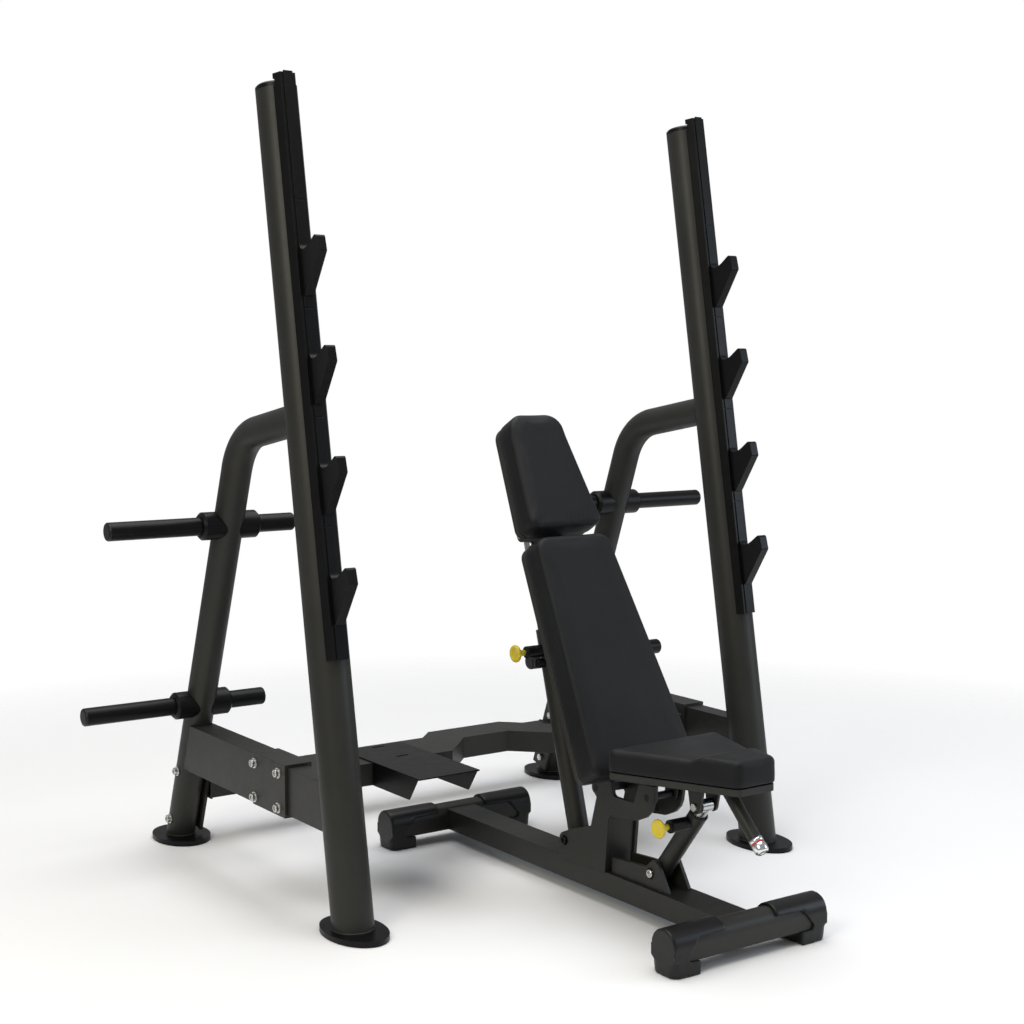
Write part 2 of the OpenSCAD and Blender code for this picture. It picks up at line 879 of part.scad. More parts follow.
module handle_tube() {
  color(frame_grey) difference() {
    on_handle() cylinder(r = handle_r, h = handle_len);
    on_seat() translate([-100, -400, 0]) cube([200, 500, 100]);
    on_handle() translate([0, 0, handle_len - 12]) cylinder(r = handle_r - 3, h = 20);
  }
}

module handle_ring() {
  color("firebrick") on_handle() translate([0, 0, handle_len]) difference() {
    cylinder(r = handle_r + 0.6, h = 3);
    translate([0, 0, -1]) cylinder(r = handle_r - 3, h = 6);
  }
}

module handle_end() {
  r = handle_r - 3.1;
  color("silver") on_handle() translate([0, 0, handle_len]) rotate_extrude() polygon([
    [0, -10], [r, -10], [r, 3], [handle_r + 0.6, 3], [handle_r + 0.6, 20],
    [handle_r - 1.5, 23], [0, 23]]);
}

front_plates();
upright(-1);  // upright_left
upright(1);  // upright_right
upright_caps();
hook_rails();
hooks(-1);  // hooks_left
hooks(1);  // hooks_right
rear_plates();
rear_leg(-1);  // rear_leg_left
rear_leg(1);  // rear_leg_right
horns(-1);  // horns_left
horns(1);  // horns_right
horn_collars();
horn_caps();
side_rails_rear();
side_rails_front();
side_rail_bolts();
front_cross_member();
foot_plate(-1);  // foot_plate_left
foot_plate(1);  // foot_plate_right
rear_cross_member();
end_plates();
leg_bolts();
bench_beam();
foot_tube(foot_y[0]);  // front_foot
foot_tube(foot_y[1]);  // rear_foot
foot_caps();
column_plates();
column_web();
strut_bracket();
pivot_axles();
strut_bolts();
back_spine();
back_hinge_arm();
back_board();
back_pad();
head_board();
head_pad();
upper_strut_lugs();
upper_strut_studs();
back_strut_tube();
back_pin_barrel();
back_pin_spring();
grip_peg();
back_strut_inner();
back_knob();
back_plunger();
seat_bracket();
seat_board();
seat_pad();
seat_strut_top_bolt();
handle_tube();
handle_ring();
handle_end();
seat_strut_tube();
seat_pin_barrel();
seat_strut_inner();
seat_knob();
seat_plunger();
seat_pin_spring();
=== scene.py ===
"""Looks for the olympic bench press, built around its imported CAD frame."""

import json
import math

import bmesh
import bpy
from mathutils import Matrix, Vector
from mathutils.geometry import convex_hull_2d


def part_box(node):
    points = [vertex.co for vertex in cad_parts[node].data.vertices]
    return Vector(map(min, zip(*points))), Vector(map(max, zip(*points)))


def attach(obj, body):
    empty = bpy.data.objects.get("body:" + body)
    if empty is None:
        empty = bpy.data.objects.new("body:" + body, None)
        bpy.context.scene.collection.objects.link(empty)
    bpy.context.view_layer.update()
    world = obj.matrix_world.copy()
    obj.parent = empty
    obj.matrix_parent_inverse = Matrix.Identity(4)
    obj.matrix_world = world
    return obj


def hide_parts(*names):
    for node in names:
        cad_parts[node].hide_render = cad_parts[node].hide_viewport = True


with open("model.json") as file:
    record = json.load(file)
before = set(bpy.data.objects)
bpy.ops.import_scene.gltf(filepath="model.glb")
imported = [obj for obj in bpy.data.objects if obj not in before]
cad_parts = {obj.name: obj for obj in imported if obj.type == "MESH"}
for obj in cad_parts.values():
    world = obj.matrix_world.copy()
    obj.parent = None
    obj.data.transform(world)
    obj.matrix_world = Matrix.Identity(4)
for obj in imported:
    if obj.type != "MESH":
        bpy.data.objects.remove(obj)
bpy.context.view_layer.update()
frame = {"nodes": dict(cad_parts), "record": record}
NODES = frame["nodes"]
SLOTS = {s["node"]: s["material_slot"] for s in frame["record"]["subparts"]}
MM = 0.001


# ---------------------------------------------------------------- camera and studio

def make_camera():
    place = Vector((-2.304, -2.978, 1.201))
    azimuth, drop, roll = math.radians(35.51), math.radians(5.28), math.radians(0.26)
    data = bpy.data.cameras.new("camera")
    data.sensor_width = 36.0
    data.lens = 59.4
    data.clip_end = 200.0
    camera = bpy.data.objects.new("camera", data)
    aim = Matrix.Rotation(-azimuth, 4, "Z") @ Matrix.Rotation(math.pi / 2 - drop, 4, "X")
    camera.matrix_world = Matrix.Translation(place) @ aim @ Matrix.Rotation(roll, 4, "Z")
    bpy.context.scene.collection.objects.link(camera)
    bpy.context.scene.camera = camera


def area_light(name, place, target, size, power, colour):
    data = bpy.data.lights.new(name, "AREA")
    data.shape = "DISK"
    data.size = size
    data.energy = power
    data.color = colour
    light = bpy.data.objects.new(name, data)
    light.location = place
    aim = Vector(target) - Vector(place)
    light.rotation_euler = aim.to_track_quat("-Z", "Y").to_euler()
    bpy.context.scene.collection.objects.link(light)


def make_studio():
    world = bpy.data.worlds.new("studio")
    world.use_nodes = True
    tree = world.node_tree
    sky = tree.nodes["Background"]
    sky.inputs["Strength"].default_value = 1.0
    # the backdrop is white to look at, but lights the object only dimly
    rays = tree.nodes.new("ShaderNodeLightPath")
    shade = tree.nodes.new("ShaderNodeMix")
    shade.data_type = "RGBA"
    shade.inputs[6].default_value = (0.30, 0.30, 0.31, 1.0)
    shade.inputs[7].default_value = (1.0, 1.0, 1.0, 1.0)
    tree.links.new(rays.outputs["Is Camera Ray"], shade.inputs[0])
    tree.links.new(shade.outputs[2], sky.inputs["Color"])
    bpy.context.scene.world = world
    middle = (0.0, 0.1, 0.8)
    area_light("overhead", (0.0, 0.2, 4.4), (0.0, 0.2, 0.0), 5.0, 190.0, (1.0, 1.0, 1.0))
    area_light("key", (-3.4, -1.4, 2.6), middle, 1.8, 48.0, (1.0, 0.95, 0.76))
    area_light("fill", (3.6, -2.6, 1.8), middle, 2.4, 46.0, (0.74, 0.87, 1.0))
    bpy.context.scene.view_settings.view_transform = "Standard"
    bpy.ops.mesh.primitive_plane_add(size=120.0, location=(0.0, 0.0, -0.0005))
    floor = bpy.context.object
    floor.name = "floor"
    floor.data.materials.append(floor_material())


# ---------------------------------------------------------------- materials

class Graph:
    """A short way to write a material's node tree."""

    def __init__(self, name):
        self.material = bpy.data.materials.new(name)
        self.material.use_nodes = True
        self.tree = self.material.node_tree
        self.surface = self.tree.nodes["Principled BSDF"]
        coords = self.tree.nodes.new("ShaderNodeTexCoord")
        self.place = coords.outputs["Object"]

    def node(self, kind, values=(), **settings):
        made = self.tree.nodes.new(kind)
        for key, value in settings.items():
            setattr(made, key, value)
        for key, value in dict(values).items():
            self.put(made.inputs[key], value)
        return made

    def put(self, socket, value):
        if isinstance(value, bpy.types.NodeSocket):
            self.tree.links.new(value, socket)
        else:
            socket.default_value = value

    def set(self, **values):
        for key, value in values.items():
            self.put(self.surface.inputs[key.replace("_", " ")], value)

    def noise(self, scale, detail=3.0, roughness=0.55):
        made = self.node(
            "ShaderNodeTexNoise",
            {"Vector": self.place, "Scale": scale, "Detail": detail, "Roughness": roughness},
        )
        return made.outputs["Fac"]

    def blend(self, amount, low, high):
        """Mixes two colours or two numbers by amount."""
        colour = isinstance(high, tuple)
        made = self.node("ShaderNodeMix", data_type="RGBA" if colour else "FLOAT")
        first = 6 if colour else 2
        self.put(made.inputs[0], amount)
        self.put(made.inputs[first], low)
        self.put(made.inputs[first + 1], high)
        return made.outputs[2 if colour else 0]

    def spread(self, value, low, high):
        """Stretches a value so that low becomes 0 and high becomes 1."""
        made = self.node(
            "ShaderNodeMapRange", {"Value": value, "From Min": low, "From Max": high}
        )
        return made.outputs["Result"]

    def bump(self, height, strength, distance, normal=None):
        values = {"Height": height, "Strength": strength, "Distance": distance}
        if normal is not None:
            values["Normal"] = normal
        return self.node("ShaderNodeBump", values).outputs["Normal"]

    def round_edges(self, radius):
        made = self.node("ShaderNodeBevel", {"Radius": radius}, samples=4)
        return made.outputs["Normal"]

    def edge_mask(self, rounded):
        """1 along sharp edges, 0 on flats."""
        flat = self.node("ShaderNodeNewGeometry").outputs["True Normal"]
        dot = self.node("ShaderNodeVectorMath", operation="DOT_PRODUCT")
        self.put(dot.inputs[0], rounded)
        self.put(dot.inputs[1], flat)
        return self.spread(dot.outputs["Value"], 0.985, 0.9)


def rgb(r, g, b):
    return (r, g, b, 1.0)


def floor_material():
    g = Graph("studio_floor")
    tone = g.blend(g.noise(0.7, 2.0), rgb(0.86, 0.86, 0.86), rgb(0.9, 0.9, 0.9))
    g.set(Base_Color=tone, Roughness=0.85, Specular_IOR_Level=0.1)
    # the floor fades into the white backdrop away from the object
    reach = g.node("ShaderNodeVectorMath", {0: g.place}, operation="LENGTH").outputs["Value"]
    clear = g.node("ShaderNodeBsdfTransparent").outputs[0]
    fade = g.node("ShaderNodeMixShader", {0: g.spread(reach, 1.7, 3.0)})
    g.tree.links.new(g.surface.outputs[0], fade.inputs[1])
    g.tree.links.new(clear, fade.inputs[2])
    g.tree.links.new(fade.outputs[0], g.tree.nodes["Material Output"].inputs["Surface"])
    return g.material


def powder_coat(name, dark, light, roughness, edge, edge_wear, shine):
    """Baked powder paint: fine orange peel, soft tone changes, thin and paler at edges."""
    g = Graph(name)
    tone = g.blend(g.spread(g.noise(5.0, 4.0), 0.3, 0.7), dark, light)
    rounded = g.round_edges(1.6 * MM)
    worn = g.node(
        "ShaderNodeMath",
        {0: g.edge_mask(rounded), 1: g.spread(g.noise(60.0, 5.0), 0.45, 0.75)},
        operation="MULTIPLY",
    ).outputs[0]
    faded = g.node("ShaderNodeMath", {0: worn, 1: edge_wear}, operation="MULTIPLY").outputs[0]
    g.set(Base_Color=g.blend(faded, tone, edge))
    g.set(Roughness=g.blend(g.noise(40.0, 3.0), roughness - 0.06, roughness + 0.08))
    peel = g.bump(g.noise(650.0, 2.0), 0.18, 0.25 * MM, rounded)
    g.set(Normal=peel, Specular_IOR_Level=shine)
    return g.material


def moulded_plastic(name, dark, light, roughness, edge_radius):
    """Injection moulded plastic with a fine spark-eroded grain."""
    g = Graph(name)
    tone = g.blend(g.noise(9.0, 3.0), dark, light)
    rounded = g.round_edges(edge_radius)
    g.set(Base_Color=tone, Roughness=g.blend(g.noise(70.0), roughness - 0.05, roughness + 0.08))
    g.set(Normal=g.bump(g.noise(900.0, 2.0), 0.2, 0.2 * MM, rounded), Specular_IOR_Level=0.3)
    return g.material


def vinyl(name):
    """Black upholstery vinyl: pebbled grain, soft sheen, slightly polished by use."""
    g = Graph(name)
    tone = g.blend(g.spread(g.noise(7.0, 5.0), 0.3, 0.7), rgb(0.0055, 0.006, 0.007),
                   rgb(0.0085, 0.009, 0.010))
    cells = g.node(
        "ShaderNodeTexVoronoi", {"Vector": g.place, "Scale": 620.0}, feature="DISTANCE_TO_EDGE"
    ).outputs["Distance"]
    pebbles = g.spread(cells, 0.0, 0.12)
    folds = g.bump(g.noise(28.0, 4.0), 0.12, 1.2 * MM)
    grain = g.bump(pebbles, 0.35, 0.3 * MM, folds)
    g.set(Base_Color=tone, Normal=grain, Sheen_Weight=0.02, Specular_IOR_Level=0.2)
    g.set(Roughness=g.blend(g.spread(g.noise(5.0, 3.0), 0.35, 0.65), 0.4, 0.55))
    return g.material


def plated_steel(name, dark, light, roughness, anisotropy=0.0):
    """Zinc-plated or ground steel, with faint brushing and handling marks."""
    g = Graph(name)
    rounded = g.round_edges(0.6 * MM)
    smear = g.spread(g.noise(110.0, 5.0, 0.65), 0.3, 0.7)
    g.set(Base_Color=g.blend(smear, dark, light), Metallic=1.0, Anisotropic=anisotropy)
    g.set(Roughness=g.blend(smear, roughness - 0.07, roughness + 0.1))
    g.set(Normal=g.bump(g.noise(900.0, 2.0), 0.08, 0.1 * MM, rounded))
    return g.material


def gloss_plastic(name, dark, light, roughness):
    g = Graph(name)
    rounded = g.round_edges(1.2 * MM)
    g.set(Base_Color=g.blend(g.noise(25.0, 3.0), dark, light), Normal=rounded)
    g.set(Roughness=g.blend(g.noise(90.0), roughness - 0.04, roughness + 0.06))
    g.set(Coat_Weight=0.3, Coat_Roughness=0.12)
    return g.material


def make_materials():
    return {
        "frame": powder_coat("graphite_powder_coat", rgb(0.019, 0.019, 0.0165),
                             rgb(0.026, 0.026, 0.0225), 0.42, rgb(0.08, 0.08, 0.075), 0.35, 0.3),
        "black_steel": powder_coat("black_powder_coat", rgb(0.0022, 0.0022, 0.0024),
                                   rgb(0.0038, 0.0038, 0.0040), 0.36, rgb(0.04, 0.04, 0.04),
                                   0.5, 0.2),
        "cap": moulded_plastic("black_moulding", rgb(0.006, 0.006, 0.0062),
                               rgb(0.010, 0.010, 0.0105), 0.34, 1.5 * MM),
        "board": moulded_plastic("pad_backing", rgb(0.022, 0.022, 0.020),
                                 rgb(0.030, 0.030, 0.027), 0.5, 2.5 * MM),
        "zinc": plated_steel("zinc_plate", rgb(0.50, 0.50, 0.49), rgb(0.68, 0.68, 0.67), 0.3),
        "pin_steel": plated_steel("ground_steel", rgb(0.42, 0.42, 0.42), rgb(0.58, 0.58, 0.58),
                                  0.25, 0.4),
        "chrome_end": plated_steel("chrome_plate", rgb(0.75, 0.76, 0.78),
                                   rgb(0.86, 0.87, 0.88), 0.14),
        "knob": gloss_plastic("yellow_knob_plastic", rgb(0.68, 0.52, 0.015),
                              rgb(0.76, 0.60, 0.02), 0.3),
        "ring": gloss_plastic("red_ring_plastic", rgb(0.50, 0.02, 0.015),
                              rgb(0.60, 0.03, 0.02), 0.3),
        "pad": vinyl("upholstery_vinyl"),
    }


def paint_nodes():
    for name, piece in NODES.items():
        piece.data.materials.clear()
        piece.data.materials.append(MATERIALS[SLOTS[name]])


# ---------------------------------------------------------------- mesh helpers

def dress(piece, slot):
    """Smooth shading all over, and the slot's material."""
    for face in piece.data.polygons:
        face.use_smooth = True
    piece.data.materials.clear()
    piece.data.materials.append(MATERIALS[slot])


def new_piece(name, mesh, body, slot):
    piece = bpy.data.objects.new(name, mesh)
    bpy.context.scene.collection.objects.link(piece)
    dress(piece, slot)
    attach(piece, body)
    return piece


def tube_rings(points, radius, sides=8):
    """Rings of points round a closed path, for a bead."""
    rings = []
    for i, point in enumerate(points):
        along = (points[(i + 1) % len(points)] - points[i - 1]).normalized()
        side = along.orthogonal() if abs(along.z) > 0.99 else along.cross(Vector((0, 0, 1)))
        side.normalize()
        up = side.cross(along).normalized()
        turns = [2 * math.pi * k / sides for k in range(sides)]
        rings.append([point + radius * (math.cos(t) * side + math.sin(t) * up) for t in turns])
    return rings


def add_lathe(bm, place, axis, profile, sides=32):
    """Turns a profile of (distance along the axis, radius) round an axis."""
    axis = Vector(axis).normalized()
    side = axis.orthogonal().normalized()
    up = axis.cross(side)
    turns = [2 * math.pi * k / sides for k in range(sides)]
    rings = []
    for along, radius in profile:
        centre = Vector(place) + axis * along
        rings.append(
            [bm.verts.new(centre + radius * (math.cos(t) * side + math.sin(t) * up)) for t in turns]
        )
    for a, b in zip(rings, rings[1:]):
        for k in range(sides):
            bm.faces.new((a[k], a[(k + 1) % sides], b[(k + 1) % sides], b[k]))
    bm.faces.new(list(reversed(rings[0])))
    bm.faces.new(rings[-1])


def mesh_from(bm, name):
    bmesh.ops.recalc_face_normals(bm, faces=bm.faces)
    mesh = bpy.data.meshes.new(name)
    bm.to_mesh(mesh)
    bm.free()
    return mesh


def resample(points, spacing, closed=True):
    """Evenly spaced points along a path."""
    count = len(points) if closed else len(points) - 1
    lengths = [(points[(i + 1) % len(points)] - points[i]).length for i in range(count)]
    total = sum(lengths)
    steps = max(8, round(total / spacing))
    found, i, walked = [], 0, 0.0
    for k in range(steps if closed else steps + 1):
        want = min(total * k / steps, total * (1 - 1e-9))
        while walked + lengths[i] < want:
            walked += lengths[i]
            i += 1
        share = (want - walked) / lengths[i]
        found.append(points[i].lerp(points[(i + 1) % len(points)], share))
    return found


# ---------------------------------------------------------------- upholstery

class Slab:
    """A flat CAD pad's own axes: across, up along the pad, and out of its face."""

    def __init__(self, node):
        mesh = NODES[node].data
        faces = sorted(mesh.polygons, key=lambda f: -f.area)
        lean = [f.normal.copy() for f in faces if abs(f.normal.x) < 0.01]
        self.out = next(n for n in lean if n.z > 0.3)
        self.across = Vector((1.0, 0.0, 0.0))
        self.up = self.out.cross(self.across).normalized()
        corners = [v.co.copy() for v in mesh.vertices]
        self.back = min(c.dot(self.out) for c in corners)
        self.front = max(c.dot(self.out) for c in corners)
        flat = [(c.dot(self.across), c.dot(self.up)) for c in corners]
        outline = [Vector((*flat[i], 0.0)) for i in convex_hull_2d(flat)]
        self.low = min(p.y for p in outline)
        self.high = max(p.y for p in outline)
        middle = (self.low + self.high) / 2
        right = [p for p in outline if p.x > 1e-6]
        right.sort(key=lambda p: math.atan2(p.y - middle, p.x))
        self.right = [Vector((0.0, self.low, 0.0)), *right, Vector((0.0, self.high, 0.0))]
        self.half = max(p.x for p in outline)

    def world(self, x, s, t):
        return self.across * x + self.up * s + self.out * t


def edge_normals(path):
    """Unit vectors pointing inwards from each point of a pad's right edge."""
    found = []
    for i in range(len(path)):
        before = path[i - 1] if i else Vector((-path[1].x, path[1].y, 0.0))
        after = path[i + 1] if i + 1 < len(path) else Vector((-path[-2].x, path[-2].y, 0.0))
        along = (after - before).normalized()
        found.append(Vector((-along.y, along.x, 0.0)))
    return found


def rolled(depth, edge):
    """Layers of (height over the back, inset) up the side band and over the rolled edge."""
    layers = [(0.5 * MM, 4 * MM), (3 * MM, 1.5 * MM), (9 * MM, 0.6 * MM)]
    for share in (0.3, 0.5, 0.7):
        layers.append((9 * MM + (depth - edge - 9 * MM) * share, 0.2 * MM))
    for k in range(7):
        turn = math.radians(90 * k / 6)
        layers.append((depth - edge + edge * math.sin(turn), edge * (1 - math.cos(turn))))
    return layers


def nose_lift(s, nose):
    """How much higher the face stands at a distance from the pad's low end."""
    rise, length = nose
    beyond, slope = 8 * MM, 26 * MM
    share = min(1.0, max(0.0, (length + beyond - s) / slope))
    return rise * share * share * (3 - 2 * share)


def cushion_mesh(slab, nose):
    """The closed cover: a side band, a rolled edge, and face rings down to a middle line."""
    spacing, edge, slack = 7 * MM, 9 * MM, 1.5 * MM
    path = resample(slab.right, spacing, closed=False)
    inward = edge_normals(path)
    depth = slab.front - slab.back - slack - nose[0]
    last = len(path) - 1
    spine_low, spine_high = slab.low + slab.half * 0.9, slab.high - slab.half * 0.75
    spine = [Vector((0.0, spine_low + (spine_high - spine_low) * i / last, 0.0))
             for i in range(last + 1)]
    rings = []
    for t, inset in rolled(depth, edge):
        rings.append([(p + n * inset, t) for p, n in zip(path, inward)])
    rim = [p for p, t in rings[-1]]
    face_rings = 14
    for k in range(1, face_rings + 1):
        share = k / face_rings
        rings.append([(p.lerp(m, share), depth) for p, m in zip(rim, spine)])
    bm = bmesh.new()
    rows = []
    for ring in rings:
        row = []
        for side in (1, -1):
            order = range(last + 1) if side > 0 else range(last - 1, 0, -1)
            for i in order:
                p, t = ring[i]
                lift = nose_lift(p.y - slab.low, nose) * min(1.0, max(0.0, t / depth - 0.1))
                row.append(bm.verts.new(slab.world(side * p.x, p.y, slab.back + t + lift)))
        rows.append(row)
    for a, b in zip(rows, rows[1:]):
        for k in range(len(a)):
            bm.faces.new((a[k], a[(k + 1) % len(a)], b[(k + 1) % len(a)], b[k]))
    bm.faces.new(list(reversed(rows[0])))
    bmesh.ops.remove_doubles(bm, verts=rows[-1], dist=0.1 * MM)
    return mesh_from(bm, "cover")


def apply_modifiers(piece):
    graph = bpy.context.evaluated_depsgraph_get()
    mesh = bpy.data.meshes.new_from_object(piece.evaluated_get(graph))
    piece.modifiers.clear()
    old = piece.data
    piece.data = mesh
    bpy.data.meshes.remove(old)


def relaxed(piece, moves, rounds):
    """The same moves, evened out between neighbouring points."""
    near = [[] for _ in moves]
    for a, b in (e.vertices for e in piece.data.edges):
        near[a].append(b)
        near[b].append(a)
    for _ in range(rounds):
        moves = [
            0.5 * m + 0.5 * sum((moves[j] for j in near[i]), Vector()) / len(near[i])
            for i, m in enumerate(moves)
        ]
    return moves


def swell(piece, slab, cap):
    """Blows the cover up with cloth pressure, held along its back, by at most cap."""
    rest = [v.co.copy() for v in piece.data.vertices]
    held = piece.vertex_groups.new(name="held")
    back = [i for i, c in enumerate(rest) if c.dot(slab.out) < slab.back + 10 * MM]
    held.add(back, 1.0, "REPLACE")
    cloth = piece.modifiers.new("Cloth", "CLOTH")
    cloth.settings.quality = 5
    cloth.settings.mass = 0.4
    cloth.settings.tension_stiffness = 20.0
    cloth.settings.compression_stiffness = 20.0
    cloth.settings.bending_stiffness = 1.5
    cloth.settings.use_pressure = True
    cloth.settings.uniform_pressure_force = 4.0
    cloth.settings.effector_weights.gravity = 0.0
    cloth.settings.vertex_group_mass = "held"
    scene = bpy.context.scene
    frames, rounds = 20, 12
    for number in range(1, frames + 1):
        scene.frame_set(number)
        bpy.context.view_layer.update()
    apply_modifiers(piece)
    scene.frame_set(1)
    moves = [v.co - start for v, start in zip(piece.data.vertices, rest)]
    moves = relaxed(piece, [m * min(1.0, cap / max(m.length, 1e-9)) for m in moves], rounds)
    for vertex, start, move in zip(piece.data.vertices, rest, moves):
        vertex.co = start + move


def keep_inside(piece, slab, spare):
    """Holds every point within the CAD pad's own depth, plus a little give in front."""
    for vertex in piece.data.vertices:
        t = vertex.co.dot(slab.out)
        limit = min(max(t, slab.back + 0.4 * MM), slab.front + spare)
        vertex.co += slab.out * (limit - t)
        vertex.co.x = min(max(vertex.co.x, -slab.half - spare), slab.half + spare)


def gather(piece, slab, reach, pitch, height):
    """Fine puckers where the cover is pulled over the pad's lower end."""
    for vertex in piece.data.vertices:
        s = vertex.co.dot(slab.up) - slab.low
        t = (vertex.co.dot(slab.out) - slab.back) / (slab.front - slab.back)
        fade = max(0.0, 1 - s / reach) * min(1.0, max(0.0, t * 2.5 - 0.8))
        across = vertex.co.x / pitch
        wave = math.sin(2 * math.pi * across) * (0.6 + 0.4 * math.sin(1.7 * across))
        vertex.co += slab.out * (height * fade * wave)


def make_cushion(node, body, nose=(0.0, 0.0), puckers=0.0):
    """Replaces a plain CAD pad with a swollen cover; nose is a front lift and its length."""
    slab = Slab(node)
    piece = new_piece(node + "_cushion", cushion_mesh(slab, nose), body, "pad")
    swell(piece, slab, 4 * MM)
    keep_inside(piece, slab, 2 * MM)
    finer = piece.modifiers.new("Finer", "SUBSURF")
    finer.levels = finer.render_levels = 1
    apply_modifiers(piece)
    if puckers:
        gather(piece, slab, 42 * MM, 11 * MM, puckers)
    dress(piece, "pad")
    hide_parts(node)


# ---------------------------------------------------------------- welds and bolts

def ring_of(node, keep, flatten):
    """The outer loop of a node's vertices that keep() chooses, in the plane of two axes."""
    a, b = flatten
    chosen = [v.co.copy() for v in NODES[node].data.vertices if keep(v.co)]
    flat = [(c[a], c[b]) for c in chosen]
    return [chosen[i] for i in convex_hull_2d(flat)]


def add_bead(name, loops, radius):
    """A fused weld bead with ripples on the rack, along one or more closed loops."""
    spacing, ripple, beat = 2.5 * MM, 0.12, 1.9
    bm = bmesh.new()
    for loop in loops:
        points = resample(loop, spacing)
        rings = tube_rings(points, radius)
        verts = []
        for i, (ring, point) in enumerate(zip(rings, points)):
            swelling = 1.0 + ripple * math.sin(i * beat)
            verts.append([bm.verts.new(point + (p - point) * swelling) for p in ring])
        for a, b in zip(verts, verts[1:] + verts[:1]):
            for k in range(len(a)):
                bm.faces.new((a[k], a[(k + 1) % len(a)], b[(k + 1) % len(a)], b[k]))
    new_piece(name, mesh_from(bm, "bead"), "rack", "frame")


def end_loop(x, y0, y1, z0, z1):
    """The four corners of a square tube's end, as a loop."""
    return [Vector((x, y, z)) for y, z in ((y0, z0), (y1, z0), (y1, z1), (y0, z1))]


def add_welds():
    for node in ("upright_left", "upright_right", "rear_leg_left", "rear_leg_right"):
        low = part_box(node)[0].z
        loop = ring_of(node, lambda c: c.z < low + 0.5 * MM, (0, 1))
        add_bead(node + "_foot_weld", [loop], 2.2 * MM)
    # the front member steps back in its middle, so its ends are shallower than its box
    low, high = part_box("front_cross_member")
    end_depth = 98 * MM
    lap_width = 66 * MM
    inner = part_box("side_rails_rear")[1].x - lap_width
    ends = [end_loop(x, low.y, low.y + end_depth, low.z, high.z) for x in (-inner, inner)]
    add_bead("front_cross_member_weld", ends, 3 * MM)
    low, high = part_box("rear_cross_member")
    ends = [end_loop(x, low.y, high.y, low.z, high.z) for x in (low.x, high.x)]
    add_bead("rear_cross_member_weld", ends, 3 * MM)


def islands(node):
    """The separate solids of a node, each as a list of its points."""
    bm = bmesh.new()
    bm.from_mesh(NODES[node].data)
    bmesh.ops.remove_doubles(bm, verts=bm.verts, dist=0.01 * MM)
    # a dict keeps the points in order, so that every run gives the same mesh
    left = dict.fromkeys(bm.verts)
    groups = []
    while left:
        seed = next(iter(left))
        del left[seed]
        group, queue = [seed], [seed]
        while queue:
            for edge in queue.pop().link_edges:
                for other in edge.verts:
                    if other in left:
                        del left[other]
                        group.append(other)
                        queue.append(other)
        groups.append([v.co.copy() for v in group])
    bm.free()
    return groups


def add_hexagon(bm, place, axis, radius, depth):
    """A six-sided nut, pushed along axis by depth from place."""
    axis = Vector(axis).normalized()
    side = axis.orthogonal().normalized()
    up = axis.cross(side)
    rings = []
    for along in (0.0, depth):
        ring = []
        for k in range(6):
            angle = math.pi * k / 3
            spot = math.cos(angle) * side + math.sin(angle) * up
            ring.append(bm.verts.new(Vector(place) + axis * along + radius * spot))
        rings.append(ring)
    for k in range(6):
        bm.faces.new((rings[0][k], rings[0][(k + 1) % 6], rings[1][(k + 1) % 6], rings[1][k]))
    bm.faces.new(rings[1])
    bm.faces.new(list(reversed(rings[0])))


def add_socket_head(bm, face, axis, radius, height):
    """A cap screw's head: a chamfered rim and a socket sunk in its end."""
    chamfer, sunk, wall = 1.2 * MM, 3.5 * MM, radius * 0.56
    add_lathe(bm, face, axis, [(0.0, radius), (height - chamfer, radius),
                               (height, radius - chamfer), (height, wall),
                               (height - sunk, wall * 0.98)], 28)


def add_bolts(node, body, head_t, slot="zinc", keep=lambda middle: True, suffix="_turned"):
    """Turned bolts in place of the plain CAD ones: a head, a washer, and a nut on long ones."""
    head_radius, shank_radius = 9 * MM, 6 * MM
    shortest, nut_from = 12 * MM, 40 * MM
    bm = bmesh.new()
    for points in islands(node):
        low = Vector([min(p[k] for p in points) for k in range(3)])
        high = Vector([max(p[k] for p in points) for k in range(3)])
        middle = (low + high) / 2
        if high.x - low.x < shortest or not keep(middle):
            continue
        outward = 1.0 if middle.x > 0 else -1.0
        head_x = high.x if outward > 0 else low.x
        tail_x = low.x if outward > 0 else high.x
        face = Vector((head_x - outward * head_t, middle.y, middle.z))
        add_socket_head(bm, face, (outward, 0, 0), head_radius, head_t)
        washer = Vector((face.x - outward * 2 * MM, middle.y, middle.z))
        rim = head_radius * 1.34
        add_lathe(bm, washer, (outward, 0, 0), [(0.0, rim), (1.6 * MM, rim), (2 * MM, rim * 0.96)])
        shank = [(0.0, shank_radius), (abs(head_x - tail_x) - head_t, shank_radius)]
        add_lathe(bm, Vector((tail_x, middle.y, middle.z)), (outward, 0, 0), shank, 20)
        if high.x - low.x > nut_from:
            nut = Vector((tail_x + outward * head_t, middle.y, middle.z))
            add_hexagon(bm, nut, (-outward, 0, 0), head_radius * 1.1, head_t * 0.85)
    piece = new_piece(node + suffix, mesh_from(bm, node), body, slot)
    for face in piece.data.polygons:
        face.use_smooth = False
    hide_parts(node)


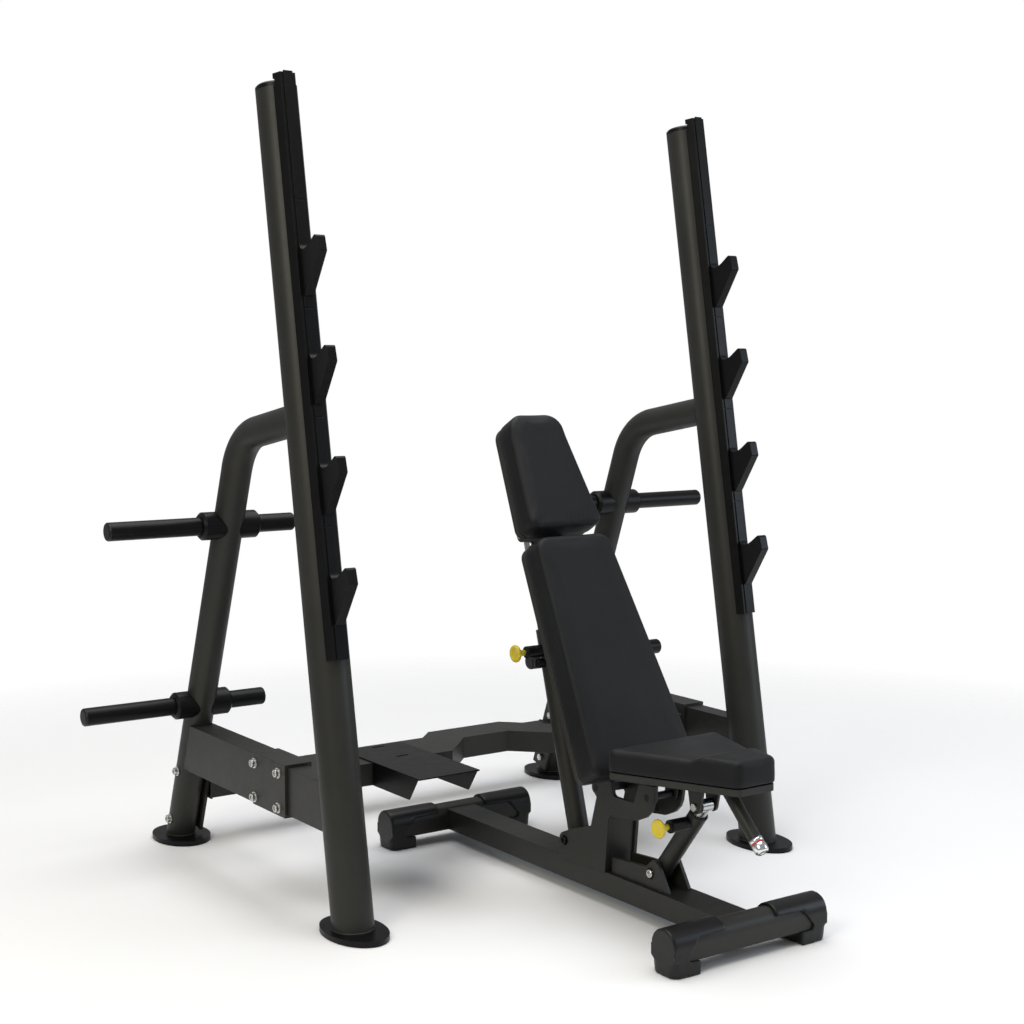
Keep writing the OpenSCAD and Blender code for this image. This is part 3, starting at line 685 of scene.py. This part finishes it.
def add_knob(node, body):
    """A mushroom pull knob with a dished face and a rolled rim."""
    low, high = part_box(node)
    middle = (low + high) / 2
    face = Vector((low.x, middle.y, middle.z))
    radius = (high.z - low.z) / 2
    reach = high.x - low.x
    profile = [(1.6 * MM, 0.2 * MM), (1.6 * MM, radius * 0.45), (0.6 * MM, radius * 0.62)]
    for k in range(9):
        turn = math.radians(200 - 22.5 * k)
        profile.append((5 * MM + 5 * MM * math.cos(turn), radius - 5 * MM + 5 * MM * math.sin(turn)))
    profile += [(10 * MM, radius * 0.6), (13 * MM, 9 * MM), (16 * MM, 7.4 * MM),
                (reach - 2 * MM, 7 * MM), (reach, 6.4 * MM)]
    bm = bmesh.new()
    add_lathe(bm, face, (1, 0, 0), profile, 48)
    piece = new_piece(node + "_moulded", mesh_from(bm, node), body, "knob")
    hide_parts(node)


def square_block(vertex, end_x, axes_y, axis_z, half):
    """Fills out the corners of a foot block that is round in plan, up to its sleeve."""
    y = min(axes_y, key=lambda a: abs(a - vertex.co.y))
    side = 1.0 if vertex.co.x > 0 else -1.0
    along, across = side * vertex.co.x - (end_x - half), vertex.co.y - y
    radius = math.hypot(along, across)
    if along <= 0 or radius < 1 * MM or vertex.co.z >= axis_z:
        return
    a, b = along / radius, abs(across) / radius
    # nearly square under the sleeve, rounder towards the floor
    power = 4 + 4 * max(0.0, vertex.co.z) / axis_z
    fade = min(1.0, (axis_z - vertex.co.z) / (3 * MM))
    grow = 1 + fade * ((a ** power + b ** power) ** (-1 / power) - 1)
    along = max(along, min(along * grow, half))
    wide = max(abs(across), min(abs(across) * grow, half))
    vertex.co.x = side * (end_x - half + along)
    vertex.co.y = y + math.copysign(wide, across)


def mould_foot_caps(node, body, slot):
    """The foot caps with edges rounded all over, as a mould leaves them."""
    piece = new_piece(node + "_moulded", NODES[node].data.copy(), body, slot)
    remesh = piece.modifiers.new("Remesh", "REMESH")
    remesh.mode = "VOXEL"
    remesh.voxel_size = 2.5 * MM
    apply_modifiers(piece)
    smooth = piece.modifiers.new("Smooth", "SMOOTH")
    smooth.iterations = 8
    apply_modifiers(piece)
    low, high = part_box(node)
    feet = [sum(c.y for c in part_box(foot)) / 2 for foot in ("front_foot", "rear_foot")]
    tube_axis_z = 58 * MM
    block_half = 35.5 * MM
    for vertex in piece.data.vertices:
        vertex.co.z = max(vertex.co.z, low.z)
        square_block(vertex, high.x, feet, tube_axis_z, block_half)
    dress(piece, slot)
    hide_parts(node)


def add_handle_end():
    """A chrome band before the coloured ring and a dished chrome knob after it."""
    low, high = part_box("handle_ring")
    ring = (low + high) / 2
    low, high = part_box("handle_end")
    axis = ((low + high) / 2 - ring).normalized()
    radius = 14.2 * MM
    half = 1.5 * MM
    bm = bmesh.new()
    band = [(-half - 9.5 * MM, radius - 1.2 * MM), (-half - 9 * MM, radius),
            (-half - 0.6 * MM, radius), (-half, radius - 0.6 * MM)]
    add_lathe(bm, ring, axis, band, 48)
    knob = [(half, radius - 0.6 * MM), (half + 1 * MM, radius), (half + 6 * MM, radius + 0.6 * MM),
            (half + 14 * MM, radius + 0.6 * MM), (half + 18 * MM, radius - 0.8 * MM),
            (half + 20.5 * MM, radius - 4 * MM), (half + 19.5 * MM, radius - 7 * MM),
            (half + 18.5 * MM, 1 * MM)]
    add_lathe(bm, ring, axis, knob, 48)
    piece = new_piece("handle_end_turned", mesh_from(bm, "handle_end"), "seat", "chrome_end")
    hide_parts("handle_end")


# ---------------------------------------------------------------- build

make_camera()
make_studio()
MATERIALS = make_materials()
paint_nodes()
make_cushion("back_pad", "backrest")
make_cushion("head_pad", "backrest", puckers=0.5 * MM)
make_cushion("seat_pad", "seat", nose=(9 * MM, 98 * MM))
add_welds()
add_bolts("side_rail_bolts", "rack", 8 * MM)
add_bolts("leg_bolts", "rack", 8 * MM)
# of the two strut bolts, the front one is zinc plated and the rear one is blackened
between_struts = (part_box("strut_bolts")[0].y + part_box("strut_bolts")[1].y) / 2
add_bolts("strut_bolts", "bench", 5 * MM, keep=lambda c: c.y < between_struts)
add_bolts("strut_bolts", "bench", 5 * MM, "black_steel", lambda c: c.y > between_struts,
          "_blackened")
mould_foot_caps("foot_caps", "bench", "cap")
add_handle_end()
add_knob("back_knob", "back_pull_pin")
add_knob("seat_knob", "seat_pull_pin")
